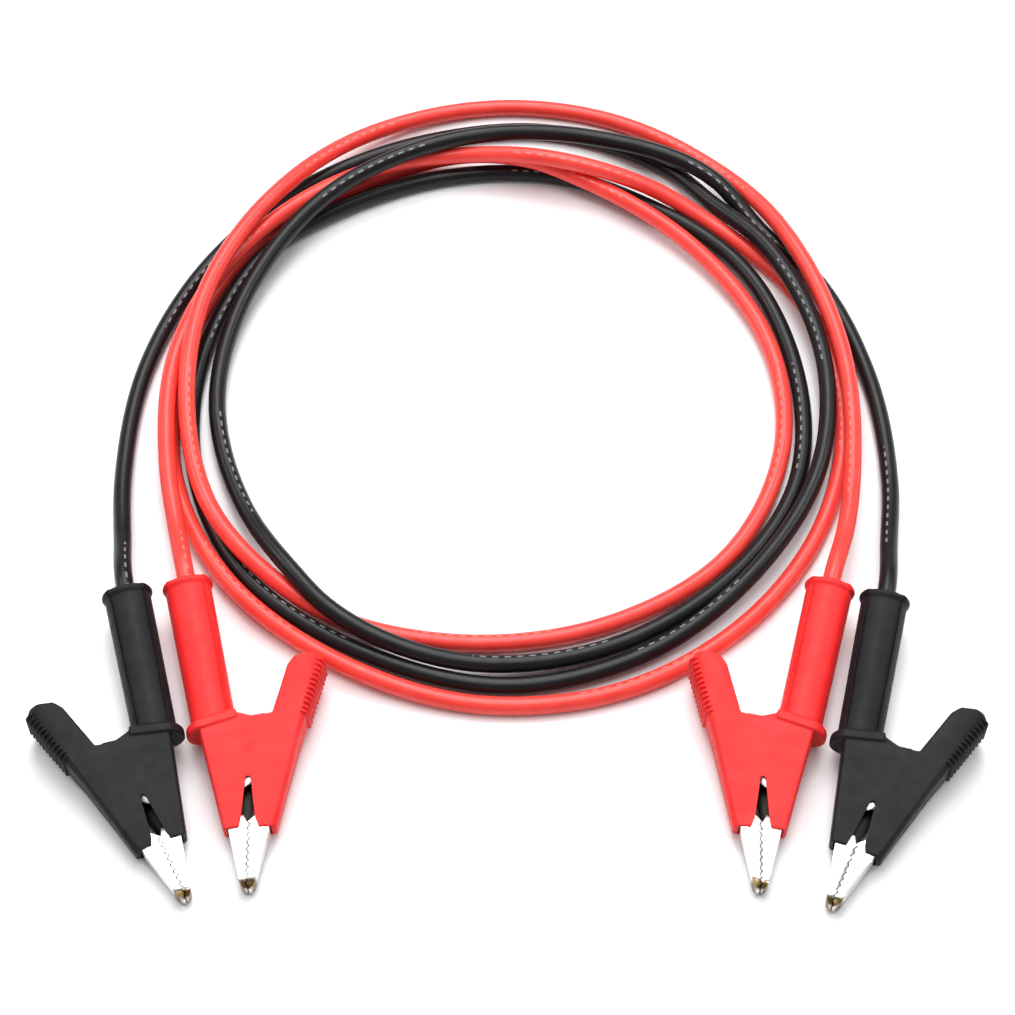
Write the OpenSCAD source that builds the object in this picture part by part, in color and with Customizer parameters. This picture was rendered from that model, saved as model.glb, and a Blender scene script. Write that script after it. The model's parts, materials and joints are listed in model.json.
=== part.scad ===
// Pair of coiled test leads, one red and one black, with an insulated alligator clip on every end.
// Units are millimetres. The leads lie on z = 0, and the jaws of all four clips point towards -Y.

/* [Cable] */
// Outer diameter of the silicone cable
cable_d = 3.5; // [3:0.1:3.8]
// Greatest spacing of the rings that shape each cable
ring_pitch = 15; // [12:1:30]

/* [Boot tube] */
// Length from the flange face to the open end of the tube
tube_len = 31.5; // [30:0.1:33]
// Radius of the tube at the open end
tube_r_rear = 4.4; // [4.2:0.05:4.6]
// Radius of the tube where it meets the flange
tube_r_front = 4.15; // [4:0.05:4.4]
// Radius of the bead around the open end
lip_r = 4.9; // [4.7:0.05:5.1]
// Length of that bead
lip_len = 1.3; // [1:0.1:2]
// Radius of the finger flange
flange_r = 5.35; // [5.1:0.05:5.4]
// Radius of the bore along the tube
tube_bore_r = 2.9; // [2.6:0.1:3.1]

/* [Boot cover] */
// Half thickness of the flat cover at the flange
cover_half = 4.0; // [3.8:0.1:4.2]
// Fall of the flat face for every millimetre towards the jaws
cover_slope = 0.08; // [0.07:0.005:0.085]
// Number of grip ribs along the lever
rib_count = 12; // [6:1:14]
// Height of a grip rib
rib_h = 0.45; // [0.3:0.05:0.6]

/* [Jaws] */
// Outer half width of the jaw cheeks
jaw_half = 1.95; // [1.8:0.05:2]
// Thickness of the nickel plated sheet
sheet = 0.5; // [0.4:0.05:0.55]
// Number of small teeth on each jaw
tooth_count = 8; // [5:1:10]
// Depth of a small tooth
tooth_depth = 0.5; // [0.3:0.05:0.6]
// Gap between the teeth of the closed jaws
tooth_gap = 0.3; // [0.3:0.05:0.5]

/* [Pivot and spring] */
// Radius of the rivet that the moving jaw turns on
pin_r = 0.9; // [0.8:0.05:1]
// Running clearance around the rivet
pin_play = 0.05; // [0.02:0.01:0.1]
// Wire diameter of the torsion spring
wire_d = 0.4; // [0.3:0.05:0.45]
// Mean radius of the spring coil
coil_r = 1.6; // [1.5:0.05:1.7]

/* [Hidden] */

// Origin of the part, given in the layout that the clips and the routes are listed in
origin = [-0.13, -56.01, 0.04];
// Nose-down pitch of every clip, which rests on its flange and its jaw tip
pitch = 6;
// Height of the tube's axis at the flange
axis_h = 5.42;

// Each clip: name, x, y, heading of its jaws, side of its lever (1 = left of the jaws), roll, colour
CLIPS = [
    ["black_left", -65.1, -55.9, -76, -1, 0, "#2b2b2e"],
    ["red_left", -54.3, -54.1, -77.2, 1, 2, "#f04a46"],
    ["red_right", 53.9, -54.4, -104.4, -1, 2, "#f04a46"],
    ["black_right", 64.9, -57.3, -103, 1, 0, "#2b2b2e"],
];

// Where a lead's conductor starts inside the tube, and where the route leaves the tube
crimp_s = -17;
mid_s = -26;
exit_s = -34;

// Route of each lead between its two clips
RED_ROUTE = [
    [-64.5, -9, 6.2], [-67.5, 7, 5.6], [-67.5, 35, 5.5], [-56.5, 61, 5.6], [-36, 80, 5.6], [-23, 85.5, 5.8],
    [-9, 86.5, 7], [7, 84, 9.2], [18.5, 81.5, 8.5], [31, 78, 5.8], [44, 70.5, 2.4], [62, 49.5, 1.8],
    [68, 22, 1.8], [62, -5.5, 1.8], [45.5, -28.5, 1.8], [22, -43, 1.8], [-6, -46, 1.8], [-33, -37, 3],
    [-54.5, -19, 3], [-66.5, 6.5, 1.8], [-67, 34.5, 1.8], [-57, 61, 1.8], [-36.5, 79.5, 1.8],
    [-23.5, 86.5, 2], [-10, 89, 3.8], [4, 86.5, 5.6], [16.5, 81, 5], [39, 64, 3.6], [53.5, 40, 2.6],
    [55, 12, 2.3], [42.5, -13.5, 1.8], [19, -28.5, 1.8], [-9, -32.5, 1.8], [-35, -26, 2.2],
    [-45.5, -19.2, 4.2], [-56.5, -7, 5.5], [-64.5, 20, 5.9], [-62, 48, 9], [-57, 60.5, 9.4],
    [-50, 73, 8.6], [-31.5, 94.5, 3.8], [-5.5, 104.5, 1.8], [22.5, 101, 1.8], [45.5, 86, 2.2],
    [54.5, 74, 4.4], [60.5, 61.5, 6], [68.5, 34.5, 5.4], [68.5, 6.5, 5.2], [66, -9, 6.6]];
BLACK_ROUTE = [
    [-75, -11, 5], [-76.5, 5, 2.5], [-74, 33.5, 1.8], [-63, 60, 1.8], [-44, 81.5, 1.8], [-18.5, 94.5, 1.8],
    [10, 97.5, 1.8], [36, 85.5, 2.2], [43, 76.5, 3.6], [53.5, 63.5, 5.8], [64, 37.5, 5], [62.5, 8.5, 4.2],
    [49, -16.5, 4.4], [27.5, -35, 3], [0, -42, 1.8], [-27.5, -35, 2.2], [-50.5, -18, 1.8],
    [-62.5, 8, 1.8], [-62.5, 36.5, 1.8], [-51, 62.5, 2.8], [-28, 79.5, 2.2], [-14, 84.5, 1.8],
    [0, 86, 1.8], [14.5, 84, 1.8], [27, 78, 2.2], [49, 59.5, 2.6], [59, 33, 1.8], [57.5, 4.5, 1.8],
    [42, -19.5, 2.6], [18, -34.5, 2.6], [-10.5, -37.5, 3.8], [-35, -26.5, 6], [-42, -18.5, 6.4],
    [-52, -2, 3.6], [-59, 26, 2.8], [-53, 53.5, 5], [-36, 76.5, 8], [-23, 84, 9.6], [-10.5, 88.5, 10],
    [18, 91, 7.6], [44.5, 80.5, 5.6], [53.5, 70, 2], [63, 59, 1.8], [73.5, 32.5, 1.8], [76, 3.5, 2.5],
    [74.2, -12, 5.5]];

// Clip outlines, in the clip's own plane: x along the tube towards the jaws, y towards the lever
pivot = [5.5, 6.5];
slit_top = [11, 4.35];
seam = 0.3;
// Cover on the tube's side, from the flexing web round to the slit
FIXED_COVER = [[5.2, 6.1], [-0.2, 7.6], [-0.4, 7.05], [-2.1, 3.9], [-2.1, -4], [0.3, -3.1], [20.1, -2.1],
    [20.5, 0.95], [18.1, 1.85], [13, 3.4], [11.2, 3.75], [11, 4.15]];
// Cover on the lever's side, from the pivot round the lever and the mouth to the slit
LEVER_COVER = [[5.6, 6.6], [0.1, 11.1], [-8.8, 15.5], [-10.2, 17.1], [-10.5, 20.4], [-9.8, 21.8], [-8.8, 22.4],
    [0.3, 17.7], [6.6, 14.4], [14.5, 10.8], [21.6, 7.7], [21, 4.6], [19.2, 4.3], [13.5, 4.7], [11.7, 5.05]];
// Room inside both covers for the metal
CAVITY = [[-2.5, -1.45], [24, -1.05], [24, 5.4], [21.4, 6.6], [14.2, 9.8], [6.3, 13.3], [0, 16.6],
    [-8.4, 21.1], [-9.3, 20.2], [-9.1, 17.5], [-8.2, 16.5], [0.9, 12], [0.9, 3.2], [-2.5, 2.6]];
// Thin skin that bends between tube and lever, with the hollow behind it
WEB_OUT = [[4.6, 6.75], [0, 10.65], [-0.25, 8]];
WEB_ROOM = [[6, 4], [6, 13], [0.9, 13], [0.9, 4]];

// Side plates of the jaws, without their teeth
teeth_start = [19.8, 2.9];
teeth_end = [30, 0.72];
nose_end = [32.8, 0.15];
FIXED_CHEEK = [[-1, -1.3], [21, -0.95], [30, -0.75], [32.8, -0.35], nose_end];
FIXED_CHEEK_REAR = [[18.2, 3.9], [17.3, 2.1], [11, 2.8], [8.3, 4.9], [7.9, 7.9], [5.5, 9.1], [3.1, 7.9],
    [2.4, 5.2], [-1, 0.9]];
MOVING_CHEEK = [[22, 6.15], [30.2, 2.3], [32.8, 1.25]];
MOVING_CHEEK_REAR = [[18.3, 5.9], [17.4, 5], [13.2, 5.2]];
MOVING_FRONT_TOP = [[13.2, 9.6], [22, 6.15]];
EAR = [[15, 5.1], [15, 9.1], [6.3, 12.8], [0.2, 15.8], [-7.4, 19.8], [-7.2, 17.1], [1.3, 12.7], [3, 7.9],
    [3.1, 5.1], [5.5, 3.9], [8.4, 5.1]];

function unit(v) = v / norm(v);
function turn_z(v, a) = [v.x * cos(a) - v.y * sin(a), v.x * sin(a) + v.y * cos(a), v.z];

// Point on a clip's tube axis, s from its flange
function on_axis(clip, s) =
    [clip[1], clip[2], axis_h] + turn_z([s * cos(pitch), 0, -s * sin(pitch)], clip[3]);

// Whole route of a lead, from conductor to conductor
function route(start, points, finish) = concat(
    [for (s = [crimp_s, mid_s, exit_s]) on_axis(start, s)],
    points,
    [for (s = [exit_s, mid_s, crimp_s]) on_axis(finish, s)]);

// Direction of a smooth curve through the points p, at point i
function heading_at(p, i) =
    i == 0 ? unit(p[1] - p[0]) :
    i == len(p) - 1 ? unit(p[i] - p[i - 1]) :
    let (u = p[i] - p[i - 1], v = p[i + 1] - p[i], a = norm(u), b = norm(v))
    (u * b / a + v * a / b) / (a + b);

// Point of that curve at fraction t of the stretch that starts at point i
function curve_at(p, i, t) =
    let (l = norm(p[i + 1] - p[i]), m = heading_at(p, i) * l, n = heading_at(p, i + 1) * l)
    (2 * t * t * t - 3 * t * t + 1) * p[i] + (t * t * t - 2 * t * t + t) * m
        + (3 * t * t - 2 * t * t * t) * p[i + 1] + (t * t * t - t * t) * n;

// Ring centres along a route, never lower than the cable's own radius
function ring_centres(p, low) = [
    for (i = [0:len(p) - 2])
        let (steps = max(1, round(norm(p[i + 1] - p[i]) / ring_pitch)))
        for (k = [0:steps - 1])
            let (c = curve_at(p, i, k / steps)) [c.x, c.y, max(c.z, low)],
    p[len(p) - 1]];

// Tube of n sides swept along the points c
module swept_tube(c, r, n) {
    last = len(c) - 1;
    rings = [for (i = [0:last])
        let (t = unit(c[min(i + 1, last)] - c[max(i - 1, 0)]), a = unit(cross(t, [0, 0, 1])), b = cross(t, a))
        for (k = [0:n - 1])
            c[i] + r * (cos((k + 0.5) * 360 / n) * a + sin((k + 0.5) * 360 / n) * b)];
    sides = [for (i = [0:last - 1], k = [0:n - 1])
        [i * n + k, (i + 1) * n + k, (i + 1) * n + (k + 1) % n, i * n + (k + 1) % n]];
    ends = [[for (k = [0:n - 1]) k], [for (k = [n - 1:-1:0]) last * n + k]];
    polyhedron(points = rings, faces = concat(sides, ends), convexity = 20);
}

// Puts a clip's own frame in its place on the table
module at_clip(clip) {
    translate([clip[1], clip[2], axis_h] - origin)
        rotate([0, 0, clip[3]]) rotate([0, pitch, 0]) rotate([clip[4] > 0 ? clip[5] : 180 - clip[5], 0, 0])
            children();
}

// Plate with a plan outline and a thickness that falls from the flange to the jaws
module wedge_plate(outline, half, slope) {
    intersection() {
        translate([0, 0, -10]) linear_extrude(20) polygon(outline);
        rotate([90, 0, 0]) translate([0, 0, -30]) linear_extrude(60)
            polygon([[-20, half + 20 * slope], [40, half - 40 * slope],
                [40, -half + 40 * slope], [-20, -half - 20 * slope]]);
    }
}

module cover_plate(outline) {
    wedge_plate(outline, cover_half, cover_slope);
}

module cavity_plate(outline) {
    wedge_plate(outline, 3.0, 0.045);
}

// Round tube with its beaded open end and the finger flange
module tube_solid() {
    rotate([0, 90, 0]) rotate_extrude($fn = 64) polygon(concat(
        [[0, -tube_len], [lip_r - 0.4, -tube_len]],
        [for (a = [-60:30:60]) [lip_r - lip_len / 2 * (1 - cos(a)), -tube_len + lip_len / 2 * (1 + sin(a))]],
        [[tube_r_rear, -tube_len + lip_len], [tube_r_front, -2.6]],
        [[flange_r - 0.5, -2.5], [flange_r, -2], [flange_r, 0.5], [flange_r - 0.4, 1], [0, 1]]));
}

module boot_body(clip) {
    color(clip[6]) at_clip(clip) difference() {
        union() {
            tube_solid();
            cover_plate(FIXED_COVER);
        }
        cavity_plate(CAVITY);
        rotate([0, 90, 0]) translate([0, 0, -tube_len + 2]) cylinder(r = tube_bore_r, h = tube_len, $fn = 48);
        rotate([0, 90, 0]) translate([0, 0, -tube_len - 1]) cylinder(r = cable_d / 2 + 0.15, h = 4, $fn = 48);
        // flat that the lever and the web clear beside the flange
        translate([-1.5, 5.6, -6]) cube([4, 3, 12]);
        translate([1, 0, 0]) cavity_plate([[-0.2, 3.3], [2, 3.3], [2, 7], [-0.2, 7]]);
    }
}

module ribs() {
    along = [9.1, -4.7];
    for (i = [0:rib_count - 1])
        translate([-8.8, 22.4, 0] + concat(along * (i + 0.4) / rib_count, 0))
            rotate([0, 0, -27.3]) translate([-0.2, -0.6, -3.2])
                cube([0.4, 0.6 + rib_h, 6.4]);
}

module boot_lever(clip) {
    color(clip[6]) at_clip(clip) difference() {
        union() {
            cover_plate(LEVER_COVER);
            ribs();
        }
        cavity_plate(CAVITY);
    }
}

module boot_web(clip) {
    color(clip[6]) at_clip(clip) difference() {
        cover_plate(WEB_OUT);
        cavity_plate(WEB_ROOM);
    }
}

// Row of teeth between two points, as outline points
function teeth(from, to, depth, n, phase) = [
    for (i = [0:2 * n])
        let (f = i / (2 * n), p = from + (to - from) * f)
        [p.x, p.y + ((i + phase) % 2 == 0 ? depth / 2 : -depth / 2)]];

function lifted(points, dy) = [for (p = points) [p.x, p.y + dy]];
function reversed(list) = [for (i = [len(list) - 1:-1:0]) list[i]];

function fixed_outline() = concat(FIXED_CHEEK,
    lifted(reversed(teeth(teeth_start, teeth_end, tooth_depth, tooth_count, 0)), -tooth_gap / 2),
    FIXED_CHEEK_REAR);
function moving_outline() = concat(MOVING_CHEEK,
    [[nose_end.x, nose_end.y + tooth_gap]],
    lifted(reversed(teeth(teeth_start, teeth_end, tooth_depth, tooth_count, 0)), tooth_gap / 2),
    MOVING_CHEEK_REAR, MOVING_FRONT_TOP);

// A pair of plates from z = inner to z = outer on both sides
module plates(outline, inner, outer) {
    for (s = [-1, 1])
        translate([0, 0, s > 0 ? inner : -outer]) linear_extrude(outer - inner) polygon(outline);
}

// Slab across the clip's thickness
module slab(outline, half) {
    translate([0, 0, -half]) linear_extrude(2 * half) polygon(outline);
}

module jaw_fixed(clip) {
    color("#d8d4cc") at_clip(clip) difference() {
        union() {
            plates(fixed_outline(), jaw_half - sheet, jaw_half);
            slab([[-1, -1.3], [21, -0.95], [30, -0.75], [32.8, -0.35], [32.8, 0.1], [29.8, -0.2], [21, -0.45],
                [-1, -0.8]], jaw_half);
            slab([[-9, -1.3], [-1, -1.3], [-1, -0.8], [-9, -0.8]], 1.4);
            rotate([0, 90, 0]) translate([0, 0, -16]) cylinder(r = 1.9, h = 8, $fn = 48);
        }
        rotate([0, 90, 0]) translate([0, 0, -16.5]) cylinder(r = 1.2, h = 9, $fn = 48);
        translate([pivot.x, pivot.y, -3]) cylinder(r = pin_r, h = 6, $fn = 48);
    }
}

module jaw_moving(clip) {
    color("#d8d4cc") at_clip(clip) difference() {
        union() {
            plates(moving_outline(), jaw_half - sheet, jaw_half);
            plates(EAR, 0.8, 1.25);
            plates([[13.2, 5.3], [15, 5.2], [15, 8.7], [13.2, 9.4]], 0.8, jaw_half);
            slab([[22, 6.15], [30.2, 2.3], [32.8, 1.25], [32.8, 0.75], [30.1, 1.7], [21.8, 5.6], [13.2, 9],
                [13.2, 9.6]], jaw_half);
            slab([[15, 9.1], [6.3, 12.8], [0.2, 15.8], [-7.4, 19.8], [-7.35, 19.3], [0.1, 15.3], [6.2, 12.3],
                [15, 8.6]], 1.25);
        }
        translate([pivot.x, pivot.y, -3]) cylinder(r = pin_r + pin_play, h = 6, $fn = 48);
    }
}

module pivot_pin(clip) {
    color("#c9c5bb") at_clip(clip) translate([pivot.x, pivot.y, 0]) {
        translate([0, 0, -jaw_half]) cylinder(r = pin_r, h = 2 * jaw_half, $fn = 48);
        for (s = [0, 180])
            rotate([s, 0, 0]) translate([0, 0, jaw_half]) cylinder(r1 = 1.4, r2 = 1.1, h = 0.35, $fn = 48);
    }
}

// Torsion spring: one leg on the fixed jaw, two and a quarter turns, one leg on the lever
module spring(clip) {
    start = -49;
    sweep = 810;
    rise = wire_d + 0.05;
    low = -rise * sweep / 720;
    coil = [for (a = [0:27:sweep])
        [coil_r * cos(start + a), coil_r * sin(start + a), low + rise * a / 360]];
    finish = start + sweep;
    leg_a = coil[0] - 8 * [-sin(start), cos(start), 0];
    leg_b = coil[len(coil) - 1] + 9.2 * [-sin(finish), cos(finish), 0];
    color("#a8a49a") at_clip(clip) translate([pivot.x, pivot.y, 0])
        swept_tube(concat([leg_a], coil, [leg_b]), wire_d / 2, 6);
}

// Stripped strands inside the crimp barrel
module conductor(clip) {
    color("#b87548") at_clip(clip) rotate([0, 90, 0]) translate([0, 0, crimp_s])
        cylinder(r = 1.2, h = -crimp_s - 8.5, $fn = 48);
}

module cable(start, points, finish, tone) {
    c = ring_centres(route(start, points, finish), cable_d / 2);
    color(tone) translate(-origin) swept_tube(c, cable_d / 2, 8);
}

module red_cable() {
    cable(CLIPS[1], RED_ROUTE, CLIPS[2], "#ff6a5c");
}

module black_cable() {
    cable(CLIPS[0], BLACK_ROUTE, CLIPS[3], "#3a3a3c");
}

for (clip = CLIPS) {
    boot_body(clip);
    boot_lever(clip);
    boot_web(clip);
    jaw_fixed(clip);
    jaw_moving(clip);
    pivot_pin(clip);
    spring(clip);
    conductor(clip);
}
red_cable();
black_cable();
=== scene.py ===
import json
import math

import bmesh
import bpy
from mathutils import Matrix, Vector


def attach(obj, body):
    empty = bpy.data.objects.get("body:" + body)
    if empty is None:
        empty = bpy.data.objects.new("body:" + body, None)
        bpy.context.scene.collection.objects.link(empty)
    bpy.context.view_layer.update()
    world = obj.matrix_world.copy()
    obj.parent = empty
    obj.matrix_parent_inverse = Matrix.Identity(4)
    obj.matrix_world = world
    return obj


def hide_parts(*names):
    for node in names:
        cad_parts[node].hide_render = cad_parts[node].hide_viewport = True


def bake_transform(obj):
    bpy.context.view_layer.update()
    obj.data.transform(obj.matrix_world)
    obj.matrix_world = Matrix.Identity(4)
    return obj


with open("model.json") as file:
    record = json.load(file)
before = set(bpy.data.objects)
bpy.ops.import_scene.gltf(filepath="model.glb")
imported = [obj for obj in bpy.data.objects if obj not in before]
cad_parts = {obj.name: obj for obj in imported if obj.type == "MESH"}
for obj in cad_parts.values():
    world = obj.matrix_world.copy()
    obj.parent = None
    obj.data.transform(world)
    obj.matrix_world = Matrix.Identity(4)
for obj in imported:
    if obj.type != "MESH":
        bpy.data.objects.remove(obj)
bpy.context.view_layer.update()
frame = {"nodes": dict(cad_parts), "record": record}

RECORD = frame["record"]
MM = 0.001

# ---------------------------------------------------------------- the layout that the routes are listed in
ORIGIN = Vector((-0.13, -56.01, 0.04))
CAMERA_ELEVATION = 56
CAMERA_DISTANCE = 0.5368
CAMERA_LENS = 95.8

CABLE_D = 3.5
CRIMP_S = -17
MID_S = -26
EXIT_S = -34
STEPS_PER_STRETCH = 8
PATH_STEPS = 640

RED_LENGTH = 1.17
BLACK_LENGTH = 1.16

RED_ROUTE = [
    (-64.5, -9, 6.2), (-67.5, 7, 5.6), (-67.5, 35, 5.5), (-56.5, 61, 5.6), (-36, 80, 5.6), (-23, 85.5, 5.8),
    (-9, 86.5, 7), (7, 84, 9.2), (18.5, 81.5, 8.5), (31, 78, 5.8), (44, 70.5, 2.4), (62, 49.5, 1.8),
    (68, 22, 1.8), (62, -5.5, 1.8), (45.5, -28.5, 1.8), (22, -43, 1.8), (-6, -46, 1.8), (-33, -37, 3),
    (-54.5, -19, 3), (-66.5, 6.5, 1.8), (-67, 34.5, 1.8), (-57, 61, 1.8), (-36.5, 79.5, 1.8),
    (-23.5, 86.5, 2), (-10, 89, 3.8), (4, 86.5, 5.6), (16.5, 81, 5), (39, 64, 3.6), (53.5, 40, 2.6),
    (55, 12, 2.3), (42.5, -13.5, 1.8), (19, -28.5, 1.8), (-9, -32.5, 1.8), (-35, -26, 2.2),
    (-45.5, -19.2, 4.2), (-56.5, -7, 5.5), (-64.5, 20, 5.9), (-62, 48, 9), (-57, 60.5, 9.4),
    (-50, 73, 8.6), (-31.5, 94.5, 3.8), (-5.5, 104.5, 1.8), (22.5, 101, 1.8), (45.5, 86, 2.2),
    (54.5, 74, 4.4), (60.5, 61.5, 6), (68.5, 34.5, 5.4), (68.5, 6.5, 5.2), (66, -9, 6.6)]
BLACK_ROUTE = [
    (-75, -11, 5), (-76.5, 5, 2.5), (-74, 33.5, 1.8), (-63, 60, 1.8), (-44, 81.5, 1.8), (-18.5, 94.5, 1.8),
    (10, 97.5, 1.8), (36, 85.5, 2.2), (43, 76.5, 3.6), (53.5, 63.5, 5.8), (64, 37.5, 5), (62.5, 8.5, 4.2),
    (49, -16.5, 4.4), (27.5, -35, 3), (0, -42, 1.8), (-27.5, -35, 2.2), (-50.5, -18, 1.8),
    (-62.5, 8, 1.8), (-62.5, 36.5, 1.8), (-51, 62.5, 2.8), (-28, 79.5, 2.2), (-14, 84.5, 1.8),
    (0, 86, 1.8), (14.5, 84, 1.8), (27, 78, 2.2), (49, 59.5, 2.6), (59, 33, 1.8), (57.5, 4.5, 1.8),
    (42, -19.5, 2.6), (18, -34.5, 2.6), (-10.5, -37.5, 3.8), (-35, -26.5, 6), (-42, -18.5, 6.4),
    (-52, -2, 3.6), (-59, 26, 2.8), (-53, 53.5, 5), (-36, 76.5, 8), (-23, 84, 9.6), (-10.5, 88.5, 10),
    (18, 91, 7.6), (44.5, 80.5, 5.6), (53.5, 70, 2), (63, 59, 1.8), (73.5, 32.5, 1.8), (76, 3.5, 2.5),
    (74.2, -12, 5.5)]

# Generic marks printed along the cables: metres along, and parts of the way round
PRINT_PITCH = 0.0024
PRINT_DASH = 0.5
PRINT_REPEAT = 0.085
PRINT_GROUP = 0.32
PRINT_SIDE = 0.25
PRINT_WIDTH = 0.018

CLIP_NAMES = ("black_left", "red_left", "red_right", "black_right")
PIVOT = Vector((5.5, 6.5, 0))


# ---------------------------------------------------------------- camera
def make_camera():
    """Camera in front of the clips, looking down on the coil."""
    data = bpy.data.cameras.new("camera")
    data.lens = CAMERA_LENS
    data.sensor_width = 36
    data.clip_start = 0.01
    data.clip_end = 20
    camera = bpy.data.objects.new("camera", data)
    bpy.context.scene.collection.objects.link(camera)
    tilt = math.radians(CAMERA_ELEVATION)
    aim = -ORIGIN * MM
    camera.location = aim + CAMERA_DISTANCE * Vector((0, -math.cos(tilt), math.sin(tilt)))
    camera.rotation_euler = (math.pi / 2 - tilt, 0, 0)
    bpy.context.scene.camera = camera


# ---------------------------------------------------------------- the clips' own frames
def clip_frame(name):
    """Matrix from a clip's millimetres (x to the jaws, y to the lever, z across) to the row frame."""
    joint = next(j for j in RECORD["behaviour"]["joints"] if j["name"] == name + "_jaw_hinge")
    mount = next(m for m in RECORD["mounts"] if m["name"] == name + "_jaws")
    x = Vector(mount["axis"]).normalized()
    z = Vector(joint["axis"]).normalized()
    y = z.cross(x).normalized()
    turn = Matrix((x, y, z)).transposed()
    start = Vector(joint["pos_m"]) - MM * (turn @ PIVOT)
    return Matrix.Translation(start) @ turn.to_4x4() @ Matrix.Scale(MM, 4)


FRAMES = {name: clip_frame(name) for name in CLIP_NAMES}


# ---------------------------------------------------------------- cables
def heading_at(p, i):
    """Direction of the smooth curve at its point i, weighted by the nearer neighbour."""
    if i == 0:
        return (p[1] - p[0]).normalized()
    if i == len(p) - 1:
        return (p[i] - p[i - 1]).normalized()
    u, v = p[i] - p[i - 1], p[i + 1] - p[i]
    a, b = u.length, v.length
    return (u * (b / a) + v * (a / b)) / (a + b)


def smooth_route(p):
    """Points along the smooth curve through p, never lower than the cable's own radius."""
    out = []
    for i in range(len(p) - 1):
        length = (p[i + 1] - p[i]).length
        m, n = heading_at(p, i) * length, heading_at(p, i + 1) * length
        for k in range(STEPS_PER_STRETCH):
            t = k / STEPS_PER_STRETCH
            q = ((2 * t ** 3 - 3 * t ** 2 + 1) * p[i] + (t ** 3 - 2 * t ** 2 + t) * m
                 + (3 * t ** 2 - 2 * t ** 3) * p[i + 1] + (t ** 3 - t ** 2) * n)
            q.z = max(q.z, CABLE_D / 2 * MM)
            out.append(q)
    out.append(p[-1])
    return out


def even_steps(path, count):
    """The same path in equal steps, so that what is printed on the cable isn't stretched."""
    spans = [(b - a).length for a, b in zip(path, path[1:])]
    step = sum(spans) / count
    out, done, i = [], 0.0, 0
    for k in range(count):
        while done + spans[i] < k * step:
            done += spans[i]
            i += 1
        out.append(path[i].lerp(path[i + 1], (k * step - done) / spans[i]))
    out.append(path[-1])
    return out


def make_cable(name, start, points, finish, material):
    """Cable from the crimp of one clip along a route to the crimp of another."""
    ends = [[FRAMES[c] @ Vector((s, 0, 0)) for s in (CRIMP_S, MID_S, EXIT_S)] for c in (start, finish)]
    route = ends[0] + [(Vector(p) - ORIGIN) * MM for p in points] + ends[1][::-1]
    path = even_steps(smooth_route(route), PATH_STEPS)
    curve = bpy.data.curves.new(name, "CURVE")
    curve.dimensions = "3D"
    curve.bevel_depth = CABLE_D / 2 * MM
    curve.bevel_resolution = 6
    curve.use_fill_caps = True
    curve.twist_mode = "Z_UP"
    spline = curve.splines.new("POLY")
    spline.points.add(len(path) - 1)
    for point, at in zip(spline.points, path):
        point.co = (*at, 1)
    spline.use_smooth = True
    curve.materials.append(material)
    piece = bpy.data.objects.new(name, curve)
    bpy.context.scene.collection.objects.link(piece)
    node = name.replace("_lead", "_cable")
    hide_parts(node)
    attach(piece, "root")


# ---------------------------------------------------------------- materials
# Painted shade: metal inside the boot, coloured as dark as it looks in the shade there
PAINTED_SHADE = (0.02, 0.018, 0.016)


def new_material(name):
    material = bpy.data.materials.new(name)
    material.use_nodes = True
    nodes = material.node_tree.nodes
    return material, nodes, material.node_tree.links, nodes["Principled BSDF"]


def noise(nodes, links, scale, detail, roughness=0.5):
    """Noise over the object's own coordinates, in features of 1 / scale metres."""
    place = nodes.new("ShaderNodeTexCoord")
    texture = nodes.new("ShaderNodeTexNoise")
    texture.inputs["Scale"].default_value = scale
    texture.inputs["Detail"].default_value = detail
    texture.inputs["Roughness"].default_value = roughness
    links.new(place.outputs["Object"], texture.inputs["Vector"])
    return texture


def ramp(nodes, links, source, stops):
    """Colours at positions from 0 to 1, read by a source."""
    node = nodes.new("ShaderNodeValToRGB")
    node.color_ramp.elements[0].position, node.color_ramp.elements[0].color = stops[0]
    node.color_ramp.elements[1].position, node.color_ramp.elements[1].color = stops[-1]
    for position, colour in stops[1:-1]:
        node.color_ramp.elements.new(position).color = colour
    links.new(source, node.inputs["Fac"])
    return node


def grey(value):
    return (value, value, value, 1)


def calculated(nodes, links, operation, a, b=0.0):
    """Output of a math node on a socket and a number or another socket."""
    node = nodes.new("ShaderNodeMath")
    node.operation = operation
    links.new(a, node.inputs[0])
    if isinstance(b, float):
        node.inputs[1].default_value = b
    else:
        links.new(b, node.inputs[1])
    return node.outputs[0]


def add_bump(nodes, links, shader, textures, strength, distance):
    """Bump from the sum of some textures, in metres."""
    total = textures[0].outputs["Fac"]
    for texture in textures[1:]:
        total = calculated(nodes, links, "ADD", total, texture.outputs["Fac"])
    bump = nodes.new("ShaderNodeBump")
    bump.inputs["Strength"].default_value = strength
    bump.inputs["Distance"].default_value = distance
    links.new(total, bump.inputs["Height"])
    links.new(bump.outputs["Normal"], shader.inputs["Normal"])


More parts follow.
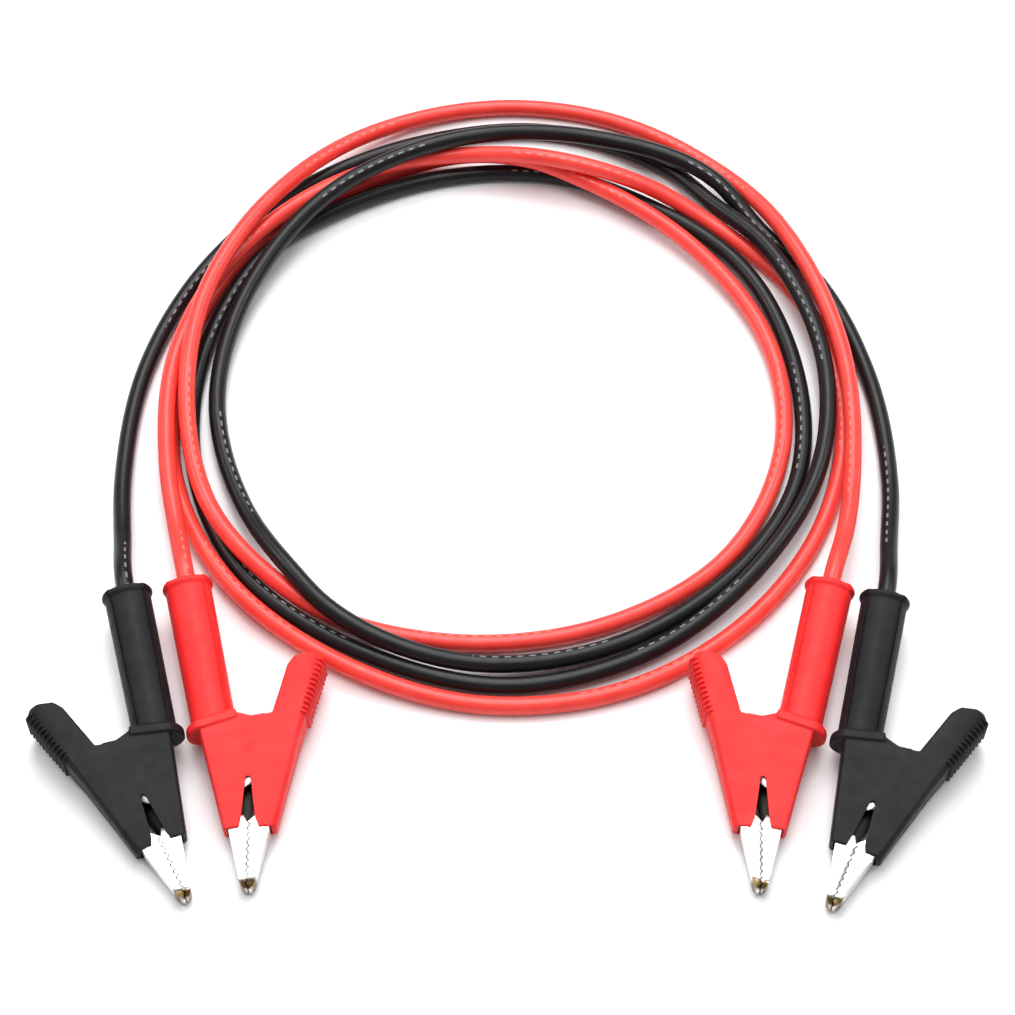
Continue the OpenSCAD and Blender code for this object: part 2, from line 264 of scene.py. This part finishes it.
def polymer(name, dark, light, rough, grain, bump, specular=0.5, subsurface=0.0):
    """Moulded vinyl or silicone: cloudy colour, uneven gloss and a fine skin."""
    material, nodes, links, shader = new_material(name)
    cloud = noise(nodes, links, 140, 4)
    colour = ramp(nodes, links, cloud.outputs["Fac"], [(0.35, (*dark, 1)), (0.65, (*light, 1))])
    links.new(colour.outputs["Color"], shader.inputs["Base Color"])
    smear = noise(nodes, links, 420, 5, 0.6)
    gloss = ramp(nodes, links, smear.outputs["Fac"], [(0.3, grey(rough[0])), (0.7, grey(rough[1]))])
    links.new(gloss.outputs["Color"], shader.inputs["Roughness"])
    fine = noise(nodes, links, grain, 3)
    add_bump(nodes, links, shader, [fine, smear], bump, 0.00004)
    shader.inputs["Specular IOR Level"].default_value = specular
    shader.inputs["Subsurface Weight"].default_value = subsurface
    shader.inputs["Subsurface Radius"].default_value = (0.002, 0.0004, 0.0003)
    return material


def masked(nodes, links, name, colour, base, speckle):
    """Base colour taken over by another where the mesh attribute says, with a speckled border."""
    place_at = nodes.new("ShaderNodeAttribute")
    place_at.attribute_name = name
    edge = nodes.new("ShaderNodeMath")
    edge.operation = "MULTIPLY_ADD"
    links.new(speckle.outputs["Fac"], edge.inputs[0])
    edge.inputs[1].default_value = 1.2
    links.new(place_at.outputs["Fac"], edge.inputs[2])
    gate = nodes.new("ShaderNodeMapRange")
    gate.inputs["From Min"].default_value = 1.0
    gate.inputs["From Max"].default_value = 1.3
    links.new(edge.outputs[0], gate.inputs["Value"])
    mix = nodes.new("ShaderNodeMix")
    mix.data_type = "RGBA"
    links.new(gate.outputs["Result"], mix.inputs["Factor"])
    links.new(base, mix.inputs["A"])
    mix.inputs["B"].default_value = (*colour, 1)
    return mix.outputs["Result"]


def repeating(nodes, links, along, pitch, share):
    """1 over the first share of every pitch along the cable, 0 over the rest."""
    turn = calculated(nodes, links, "FRACT", calculated(nodes, links, "DIVIDE", along, pitch))
    return calculated(nodes, links, "LESS_THAN", turn, share)


def printed(material, length, colour):
    """Rows of pale dashes printed along a cable of the given length."""
    nodes, links = material.node_tree.nodes, material.node_tree.links
    shader = nodes["Principled BSDF"]
    place_at = nodes.new("ShaderNodeUVMap")
    split = nodes.new("ShaderNodeSeparateXYZ")
    links.new(place_at.outputs["UV"], split.inputs["Vector"])

    along = calculated(nodes, links, "MULTIPLY", split.outputs["X"], length)
    dash = repeating(nodes, links, along, PRINT_PITCH, PRINT_DASH)
    group = repeating(nodes, links, along, PRINT_REPEAT, PRINT_GROUP)
    side = calculated(nodes, links, "SUBTRACT", split.outputs["Y"], PRINT_SIDE)
    off = calculated(nodes, links, "ABSOLUTE", side)
    band = calculated(nodes, links, "LESS_THAN", off, PRINT_WIDTH)
    both = calculated(nodes, links, "MULTIPLY", dash, group)
    mask = calculated(nodes, links, "MULTIPLY", both, band)
    mix = nodes.new("ShaderNodeMix")
    mix.data_type = "RGBA"
    links.new(mask, mix.inputs["Factor"])
    base = shader.inputs["Base Color"].links[0].from_socket
    links.new(base, mix.inputs["A"])
    mix.inputs["B"].default_value = (*colour, 1)
    links.new(mix.outputs["Result"], shader.inputs["Base Color"])


def plated(name, bright, tarnish, rough):
    """Plated metal: even gloss, faint blotches, tarnish on tips and folds, and painted shade inside."""
    material, nodes, links, shader = new_material(name)
    blotch = noise(nodes, links, 700, 6, 0.65)
    base = ramp(nodes, links, blotch.outputs["Fac"],
                [(0.3, (*[c * 0.97 for c in bright], 1)), (0.7, (*bright, 1))])
    speckle = noise(nodes, links, 2200, 5, 0.7)
    colour = masked(nodes, links, "tip", tarnish, base.outputs["Color"], speckle)
    colour = masked(nodes, links, "fold", tarnish, colour, speckle)
    # Painted shade: near-black colour on the jaws' inner faces that the boot hides
    colour = masked(nodes, links, "inside", PAINTED_SHADE, colour, speckle)
    links.new(colour, shader.inputs["Base Color"])
    shader.inputs["Metallic"].default_value = 1
    gloss = ramp(nodes, links, blotch.outputs["Fac"], [(0.3, grey(rough[0])), (0.7, grey(rough[1]))])
    links.new(gloss.outputs["Color"], shader.inputs["Roughness"])
    scratch = noise(nodes, links, 3000, 2)
    add_bump(nodes, links, shader, [scratch], 0.15, 0.00001)
    return material


RED_VINYL = polymer("red_vinyl", (0.78, 0.020, 0.020), (0.86, 0.028, 0.027), (0.46, 0.58), 5200, 0.35,
                    specular=0.28, subsurface=0.05)
BLACK_VINYL = polymer("black_vinyl", (0.009, 0.009, 0.011), (0.014, 0.014, 0.016), (0.46, 0.6), 5200, 0.35,
                      specular=0.17)
RED_SILICONE = polymer("red_silicone", (0.84, 0.044, 0.034), (0.92, 0.058, 0.044), (0.3, 0.42), 2600, 0.2,
                       specular=0.45, subsurface=0.05)
BLACK_SILICONE = polymer("black_silicone", (0.005, 0.005, 0.006), (0.009, 0.009, 0.010), (0.3, 0.4),
                         2600, 0.2, specular=0.27)
printed(RED_SILICONE, RED_LENGTH, (0.92, 0.17, 0.14))
printed(BLACK_SILICONE, BLACK_LENGTH, (0.20, 0.20, 0.21))
NICKEL = plated("nickel_plate", (0.92, 0.91, 0.88), (0.2, 0.13, 0.05), (0.3, 0.38))
SPRING_WIRE = plated("spring_wire_steel", (0.55, 0.54, 0.52), (0.2, 0.18, 0.15), (0.3, 0.45))
COPPER = plated("copper_strands", (0.85, 0.45, 0.27), (0.4, 0.2, 0.1), (0.3, 0.5))

VINYL = {"black": BLACK_VINYL, "red": RED_VINYL}

# ---------------------------------------------------------------- mesh helpers, in a clip's millimetres
TUBE_SIDES = 72


def mesh_object(name, bm):
    bmesh.ops.recalc_face_normals(bm, faces=bm.faces)
    mesh = bpy.data.meshes.new(name)
    bm.to_mesh(mesh)
    bm.free()
    piece = bpy.data.objects.new(name, mesh)
    bpy.context.scene.collection.objects.link(piece)
    return piece


def lathe(name, profile):
    """Solid turned about x from points (x, radius)."""
    bm = bmesh.new()
    rings = []
    for x, r in profile:
        rings.append([bm.verts.new((x, r * math.cos(2 * math.pi * k / TUBE_SIDES),
                                    r * math.sin(2 * math.pi * k / TUBE_SIDES))) for k in range(TUBE_SIDES)])
    for a, b in zip(rings, rings[1:]):
        for k in range(TUBE_SIDES):
            j = (k + 1) % TUBE_SIDES
            bm.faces.new((a[k], a[j], b[j], b[k]))
    bm.faces.new(rings[0][::-1])
    bm.faces.new(rings[-1])
    return mesh_object(name, bm)


def stacked(name, layers):
    """Solid from outlines of equal length, each a list of (x, y, z), joined in order and capped."""
    bm = bmesh.new()
    rings = [[bm.verts.new(p) for p in layer] for layer in layers]
    count = len(rings[0])
    for a, b in zip(rings, rings[1:]):
        for k in range(count):
            j = (k + 1) % count
            bm.faces.new((a[k], a[j], b[j], b[k]))
    caps = [bm.faces.new(rings[0][::-1]), bm.faces.new(rings[-1])]
    bm.normal_update()
    bmesh.ops.triangulate(bm, faces=caps)
    return mesh_object(name, bm)


def wedge(name, side, face, half, slope, chamfer):
    """Plate whose half thickness falls by slope along x, its edge going from side to face."""
    def level(outline, sign, down):
        return [(x, y, sign * (half - slope * x - down)) for x, y in outline]
    return stacked(name, [level(face, -1, 0), level(side, -1, chamfer), level(side, 1, chamfer),
                          level(face, 1, 0)])


def plate(name, outline, low, high):
    """Flat plate with a plan outline, from z low to z high."""
    return stacked(name, [[(x, y, low) for x, y in outline], [(x, y, high) for x, y in outline]])


def combine(target, tool, operation):
    """Boolean of a tool on a target; the tool is used up."""
    modifier = target.modifiers.new(operation, "BOOLEAN")
    modifier.operation = operation
    modifier.solver = "EXACT"
    modifier.object = tool
    settle(target)
    bpy.data.objects.remove(tool)


def settle(piece):
    """Applies a piece's modifiers to its mesh."""
    bpy.context.view_layer.update()
    graph = bpy.context.evaluated_depsgraph_get()
    mesh = bpy.data.meshes.new_from_object(piece.evaluated_get(graph))
    old = piece.data
    piece.modifiers.clear()
    piece.data = mesh
    bpy.data.meshes.remove(old)


def joined(name, pieces):
    """One object from several, which keep their own shells."""
    bm = bmesh.new()
    for piece in pieces:
        bm.from_mesh(piece.data)
        bpy.data.objects.remove(piece)
    return mesh_object(name, bm)


# ---------------------------------------------------------------- boot
# Pairs of (side wall outline, flat face outline) round the whole cover
COVER = [
    ((-1.6, -3.0), (-1.6, -2.6)), ((20.1, -1.95), (20.1, -1.6)), ((20.4, 0.95), (20.4, 0.95)),
    ((21, 4.6), (21, 4.6)), ((21.7, 7.7), (21.4, 6.8)), ((14.5, 10.9), (14.1, 10.5)),
    ((6.6, 14.5), (6.3, 14.1)), ((2.5, 16.6), (2.0, 16.0)), ((-8.8, 22.3), (-9.2, 21.2)),
    ((-9.9, 21.7), (-9.8, 20.6)), ((-10.5, 20.4), (-10.2, 20)), ((-10.2, 17.1), (-10, 17.1)),
    ((-8.8, 15.5), (-8.7, 15.6)), ((0, 11.05), (0, 11.05)), ((-0.3, 9), (-0.3, 9)),
    ((-0.4, 7.05), (-0.4, 7.05)), ((-1.6, 4.6), (-1.6, 4.6))]
SLIT = [(23, 0.0), (20.4, 0.95), (18.1, 1.85), (15.5, 2.65), (13, 3.4), (11.8, 3.72), (11.35, 3.92),
        (11.1, 4.2), (11.05, 4.5), (11.25, 4.8), (11.7, 4.95), (13.5, 4.72), (16.3, 4.5), (19.2, 4.3),
        (21, 4.6), (23, 5.0)]
COVER_HALF = 4.0
COVER_SLOPE = 0.08
# Room inside the cover, and the bore of the tube
ROOM = [(-2.5, -1.5), (24, -1.1), (24, 5.4), (21.4, 6.7), (14.2, 9.9), (6.3, 13.4), (0.4, 16.5),
        (-8.6, 21.0), (-9.3, 20.2), (-9.1, 17.6), (-8.2, 16.5), (1.0, 12), (1.0, 3.2), (-2.5, 2.6)]
ROOM_HALF = 3.0
ROOM_SLOPE = 0.049
TUBE = [(-31.5, 3.2), (-31.5, 4.35), (-31.35, 4.68), (-31, 4.86), (-30.6, 4.86), (-30.25, 4.68),
        (-30, 4.4), (-1, 4.15), (-1, 2)]
FLANGE_R = 5.36
FLANGE_TOP = 4.5
FLANGE_CORNER = 4.5
FLANGE_FRONT = -0.12
FLANGE_TILT = -0.114
BORE = [(-32, 3.1), (-30.9, 2.3), (-30.4, 1.95), (-29.4, 1.95), (-28.9, 2.9), (1.5, 2.9)]
RIB_COUNT = 12
RIB_START = Vector((-8.9, 22.3))
RIB_END = Vector((1.7, 16.85))
CROWN_START = Vector((-9.8, 18.9))
CROWN_END = Vector((2, 13.4))
CROWN_HALF = 3.2
CROWN_FALL = 0.11
VOXEL = 0.2


def flange():
    """Finger stop: a disc with a flat above, and a square corner towards the lever."""
    outline = []
    for k in range(TUBE_SIDES):
        angle = 2 * math.pi * k / TUBE_SIDES
        y, z = FLANGE_R * math.cos(angle), FLANGE_R * math.sin(angle)
        if y > 0 and z > 0:
            y, z = min(1.45 * y, FLANGE_CORNER), 1.45 * z
        outline.append((y, min(z, FLANGE_TOP)))
    layers = [(-1.85, 0.9), (-1.8, 0.96), (-1.6, 1), (-0.15, 1), (-0.03, 0.985), (0, 0.95)]
    return stacked("flange", [[(FLANGE_FRONT + x + FLANGE_TILT * y * k, y * k, z * k) for y, z in outline]
                              for x, k in layers])


def rib(i):
    """Ridge across the lever's outer wall, rounded on top."""
    at = RIB_START.lerp(RIB_END, (i + 0.5) / RIB_COUNT)
    along = (RIB_END - RIB_START).normalized()
    out = Vector((-along.y, along.x))
    layers = []
    for z, height in ((-4.15, -0.5), (-3.8, 0.22), (-3.3, 0.62), (3.3, 0.62), (3.8, 0.22), (4.15, -0.5)):
        corners = []
        for a, b in ((-0.25, -1), (0.25, -1), (0.21, height - 0.1), (0.13, height), (-0.13, height),
                     (-0.21, height - 0.1)):
            q = at + along * a + out * b
            corners.append((q.x, q.y, z))
        layers.append(corners)
    return stacked("rib", layers)


def skinned(name, pieces, voxel):
    """One closed skin round several overlapping solids."""
    piece = joined(name, pieces)
    remesh = piece.modifiers.new("skin", "REMESH")
    remesh.mode = "VOXEL"
    remesh.voxel_size = voxel
    settle(piece)
    return piece


def soften(piece, iterations):
    smooth = piece.modifiers.new("soften", "SMOOTH")
    smooth.factor = 0.5
    smooth.iterations = iterations
    settle(piece)


def crown(mesh):
    """Rounds the lever's faces off towards their edges, most at the tip."""
    along = (CROWN_END - CROWN_START).normalized()
    for vertex in mesh.vertices:
        fade = min(1.0, max(0.0, (CROWN_END.x - vertex.co.x) / 6))
        off = abs(along.cross(vertex.co.xy - CROWN_START)) / CROWN_HALF
        if fade and abs(vertex.co.z) > 3:
            vertex.co.z *= 1 - CROWN_FALL * fade * min(1.3, off * off)


def make_boot_mesh():
    """Hollow boot: cover, tube and flange in one skin, with its slit and grip ribs."""
    side = [a for a, b in COVER]
    face = [b for a, b in COVER]
    solids = [wedge("cover", side, face, COVER_HALF, COVER_SLOPE, 0.9), lathe("tube", TUBE), flange()]
    boot = skinned("boot", solids, VOXEL)
    room = skinned("room", [wedge("cavity", ROOM, ROOM, ROOM_HALF, ROOM_SLOPE, 0.2), lathe("bore", BORE)],
                   VOXEL)
    combine(boot, room, "DIFFERENCE")
    boot = skinned("boot", [boot], VOXEL)
    soften(boot, 3)
    crown(boot.data)
    combine(boot, plate("slit", SLIT, -6, 6), "DIFFERENCE")
    boot = joined("boot", [boot] + [rib(i) for i in range(RIB_COUNT)])
    mesh = boot.data
    bpy.data.objects.remove(boot)
    return mesh


# ---------------------------------------------------------------- jaws
JAW_HALF = 1.95
SHEET = 0.45
WEB_HALF = 1.7
FIXED_LINE = [(-1, -1.3), (21, -0.95), (30.3, -0.75)]
MOVING_LINE = [(13.4, 9.6), (22, 6.15), (30.4, 2.25)]
TEETH_START = Vector((19.4, 3.0))
TEETH_END = Vector((30.1, 0.72))
TOOTH_COUNT = 8
TOOTH_DEPTH = 0.62
TOOTH_GAP = 0.2
# Extra cuts across a jaw, so that the tarnish and the painted shade end there
TARNISH_AND_SHADE_CUTS = (19.6, 20, 22.3, 22.6, 29.4, 29.7)
EDGE_BEVEL = 0.12
INSIDE_END = 19.8
TIP_MIDDLE = 31.1
TIP_REACH = 1.7
FOLD_START = 22.5


def tooth_line(lift):
    """Zigzag between the closed jaws, moved up by lift."""
    points = []
    for i in range(2 * TOOTH_COUNT + 1):
        q = TEETH_START.lerp(TEETH_END, i / (2 * TOOTH_COUNT))
        rise = TOOTH_DEPTH / 2 if i % 2 else -TOOTH_DEPTH / 2
        points.append((q.x, q.y + rise + lift))
    return points


def fixed_cheek(rear):
    """Outline of a fixed cheek, from its outer line round the teeth and the rear points to the ear."""
    return (FIXED_LINE + [(30.4, 0.2)] + tooth_line(-TOOTH_GAP / 2)[::-1] + rear
            + [(11.2, 5.6), (8.6, 5.6), (8.1, 7.9), (5.5, 9.1), (3.1, 7.9), (2.4, 5.2), (-1, 0.9)])


def moving_cheek():
    """Outline of a moving cheek, in front of its ear."""
    return (MOVING_LINE + [(30.5, 1.0)] + tooth_line(TOOTH_GAP / 2)[::-1]
            + [(18.6, 4.15), (17.9, 5.4), (13.8, 5.7)])


def two_plates(name, outline, inner, outer):
    return [plate(name, outline, inner, outer), plate(name, outline, -outer, -inner)]


def nose(outer, inner):
    """Folded end of a jaw, solid, from its outer line to its tooth line, narrowing to the tip."""
    layers = []
    for i, (a, b) in enumerate(zip(outer, inner)):
        width = JAW_HALF * (1 - 0.5 * (i / (len(outer) - 1)) ** 1.6)
        layers.append([(*a, -width), (*a, width), (*b, width), (*b, -width)])
    return stacked("nose", layers)


def strip(name, outer, thickness, half):
    """Sheet along a line of points, set in by its thickness."""
    inner = [(x, y + thickness) for x, y in reversed(outer)]
    return plate(name, list(outer) + inner, -half, half)


def soften_edges(piece, width):
    """Rounds the sheet's cut edges."""
    bm = bmesh.new()
    bm.from_mesh(piece.data)
    for x in TARNISH_AND_SHADE_CUTS:
        bmesh.ops.bisect_plane(bm, geom=bm.verts[:] + bm.edges[:] + bm.faces[:], plane_co=(x, 0, 0),
                               plane_no=(1, 0, 0))
    bm.to_mesh(piece.data)
    bm.free()
    bevel = piece.modifiers.new("edge", "BEVEL")
    bevel.width = width
    bevel.segments = 2
    bevel.limit_method = "ANGLE"
    bevel.angle_limit = math.radians(35)
    bevel.harden_normals = True
    settle(piece)


def make_fixed_jaw():
    """Jaw on the tube's side, with its notched near cheek, tang and crimp barrel."""
    notched = fixed_cheek([(18.0, 2.3), (18.3, 1.0), (13.2, 1.7), (12.7, 3.5), (12.2, 4.9)])
    whole = fixed_cheek([(18.2, 3.2), (13, 5.1)])
    pieces = [plate("cheek", notched, JAW_HALF - SHEET, JAW_HALF),
              plate("far_cheek", whole, -JAW_HALF, SHEET - JAW_HALF)]
    pieces.append(strip("web", FIXED_LINE, SHEET, WEB_HALF))
    pieces.append(nose([(30, -0.76), (30.7, -0.68), (31.3, -0.45), (31.7, -0.1), (31.9, 0.2)],
                       [(30, 0.5), (30.45, 0.75), (30.95, 0.2), (31.5, 0.55), (31.95, 0.3)]))
    pieces.append(plate("tang", [(-9, -1.3), (-0.5, -1.3), (-0.5, -0.8), (-9, -0.8)], -1.4, 1.4))
    barrel = lathe("barrel", [(-16, 1.9), (-15.8, 2.0), (-8.2, 2.0), (-8, 1.9)])
    combine(barrel, lathe("hole", [(-17, 1.22), (-7, 1.22)]), "DIFFERENCE")
    pieces.append(barrel)
    jaw = joined("jaw", pieces)
    soften_edges(jaw, EDGE_BEVEL)
    return jaw


def make_moving_jaw():
    """Jaw on the lever's side, with the two ears that run back into the lever."""
    pieces = two_plates("cheek", moving_cheek(), JAW_HALF - SHEET, JAW_HALF)
    pieces.append(strip("web", MOVING_LINE, -SHEET, WEB_HALF))
    pieces.append(nose([(30, 2.4), (30.8, 2.05), (31.5, 1.6), (32, 1.05), (32.1, 0.85)],
                       [(30, 0.75), (30.45, 1.0), (30.95, 0.45), (31.5, 0.8), (32.1, 0.6)]))
    ear = [(15, 5.8), (15, 9.1), (6.3, 12.8), (0.2, 15.8), (-7.4, 19.8), (-7.2, 17.1), (1.3, 12.7),
           (3, 7.9), (3.1, 5.1), (5.5, 3.9), (8.4, 5.1)]
    pieces += two_plates("ear", ear, 0.8, 1.25)
    pieces += two_plates("jog", [(13.4, 5.8), (15, 5.8), (15, 8.7), (13.4, 9.3)], 0.8, JAW_HALF - 0.05)
    pieces.append(strip("back", [(7, 11.9), (14.9, 8.6)], SHEET, 1.25))
    jaw = joined("jaw", pieces)
    soften_edges(jaw, EDGE_BEVEL)
    return jaw


def depth_below(line, point):
    """How far a point lies from a jaw's outer line, along y."""
    for (x0, y0), (x1, y1) in zip(line, line[1:]):
        if point.x <= x1:
            return abs(point.y - y0 - (y1 - y0) * (point.x - x0) / (x1 - x0))
    return abs(point.y - line[-1][1])


def is_inner(point, line):
    """True on the inner faces of a jaw's cheeks and web, as far as the boot hides them, where shade is
    painted.
    """
    if point.x > INSIDE_END:
        return False
    cheek = JAW_HALF - SHEET + 0.1
    return abs(point.z) < cheek or (abs(point.z) < WEB_HALF + 0.05 and depth_below(line, point) > 0.25)


def mark(mesh, name, rule):
    """Vertex attribute, from a rule on each vertex's place."""
    values = mesh.attributes.new(name, "FLOAT", "POINT").data
    values.foreach_set("value", [float(rule(v.co)) for v in mesh.vertices])


def is_fold(point, line):
    """True on the rounded edge where a cheek is folded from its web."""
    inset = JAW_HALF - abs(point.z)
    return point.x > FOLD_START and 0.004 < inset < 0.1 and depth_below(line, point) < 0.08


def mark_tarnish_and_shade(mesh, line):
    """Tarnish on a jaw's folded end and folds, and painted shade on its hidden inner faces."""
    mark(mesh, "tip", lambda point: max(0.0, 1 - abs(point.x - TIP_MIDDLE) / TIP_REACH))
    mark(mesh, "fold", lambda point: is_fold(point, line))
    # Mask for the painted shade on the hidden inner faces
    mark(mesh, "inside", lambda point: is_inner(point, line))


# ---------------------------------------------------------------- assembly of the clips
def place(name, mesh, clip, material, smooth_angle):
    """Copy of a mesh on a clip, turned over where the clip's z axis points down."""
    copy = mesh.copy()
    if FRAMES[clip].col[2].z < 0:
        copy.transform(Matrix.Scale(-1, 4, (0, 0, 1)))
        copy.flip_normals()
    copy.transform(FRAMES[clip])
    copy.materials.clear()
    copy.materials.append(material)
    for polygon in copy.polygons:
        polygon.use_smooth = True
    piece = bpy.data.objects.new(name, copy)
    bpy.context.scene.collection.objects.link(piece)
    copy.set_sharp_from_angle(angle=math.radians(smooth_angle))
    return piece


def add_boot(mesh, clip):
    """The boot's one skin on a clip, standing in for the frame's boot parts."""
    colour = clip.split("_")[0]
    skin = place(clip + "_boot", mesh, clip, VINYL[colour], 60)
    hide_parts(clip + "_boot_body", clip + "_boot_lever", clip + "_boot_web")
    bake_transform(skin)


def add_jaw(name, mesh, clip, node, body):
    jaw = place(name, mesh, clip, NICKEL, 40)
    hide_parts(node)
    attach(jaw, body)


def finish_cad_parts(clip):
    """Materials of the parts that are shown as the frame has them."""
    for node, material in (("pivot_pin", NICKEL), ("spring", SPRING_WIRE), ("conductor", COPPER)):
        body = frame["nodes"][clip + "_" + node]
        body.data.materials.clear()
        body.data.materials.append(material)


def make_clips():
    """Four clips from one boot and two jaws."""
    boot = make_boot_mesh()
    fixed = make_fixed_jaw()
    moving = make_moving_jaw()
    mark_tarnish_and_shade(fixed.data, FIXED_LINE)
    mark_tarnish_and_shade(moving.data, MOVING_LINE)
    for clip in CLIP_NAMES:
        add_boot(boot, clip)
        add_jaw(clip + "_lower_jaw", fixed.data, clip, clip + "_jaw_fixed", "root")
        add_jaw(clip + "_upper_jaw", moving.data, clip, clip + "_jaw_moving", clip + "_lever")
        finish_cad_parts(clip)
    for leftover in (fixed, moving):
        bpy.data.objects.remove(leftover)


# ---------------------------------------------------------------- room
def make_floor():
    bm = bmesh.new()
    bmesh.ops.create_grid(bm, x_segments=8, y_segments=8, size=3)
    floor = mesh_object("floor", bm)
    material, _, _, shader = new_material("white_table")
    shader.inputs["Base Color"].default_value = (0.93, 0.93, 0.94, 1)
    shader.inputs["Roughness"].default_value = 0.75
    floor.data.materials.append(material)


def area_light(name, place_at, aim, size, energy, colour):
    data = bpy.data.lights.new(name, "AREA")
    data.shape = "DISK"
    data.size = size
    data.energy = energy
    data.color = colour
    light = bpy.data.objects.new(name, data)
    light.location = place_at
    light.rotation_euler = (Vector(aim) - Vector(place_at)).to_track_quat("-Z", "Y").to_euler()
    bpy.context.scene.collection.objects.link(light)


def make_room():
    """Pale floor under soft studio light."""
    make_floor()
    scene = bpy.context.scene
    world = bpy.data.worlds.new("studio")
    world.use_nodes = True
    world.node_tree.nodes["Background"].inputs["Color"].default_value = (0.98, 0.98, 1.0, 1)
    world.node_tree.nodes["Background"].inputs["Strength"].default_value = 0.33
    scene.world = world
    scene.view_settings.view_transform = "Standard"
    area_light("back", (0, 0.75, 1.15), (0, 0.03, 0), 0.9, 13.0, (1, 0.995, 0.99))
    area_light("above", (0, 0.05, 1.2), (0, 0.05, 0), 0.7, 6.0, (1, 1, 1))
    area_light("left", (-0.8, 0.35, 0.75), (0, 0.05, 0), 0.45, 3.0, (1, 0.99, 0.98))
    area_light("right", (0.8, 0.35, 0.75), (0, 0.05, 0), 0.45, 3.0, (0.98, 0.99, 1))


make_camera()
make_cable("red_lead", "red_left", RED_ROUTE, "red_right", RED_SILICONE)
make_cable("black_lead", "black_left", BLACK_ROUTE, "black_right", BLACK_SILICONE)
make_clips()
make_room()
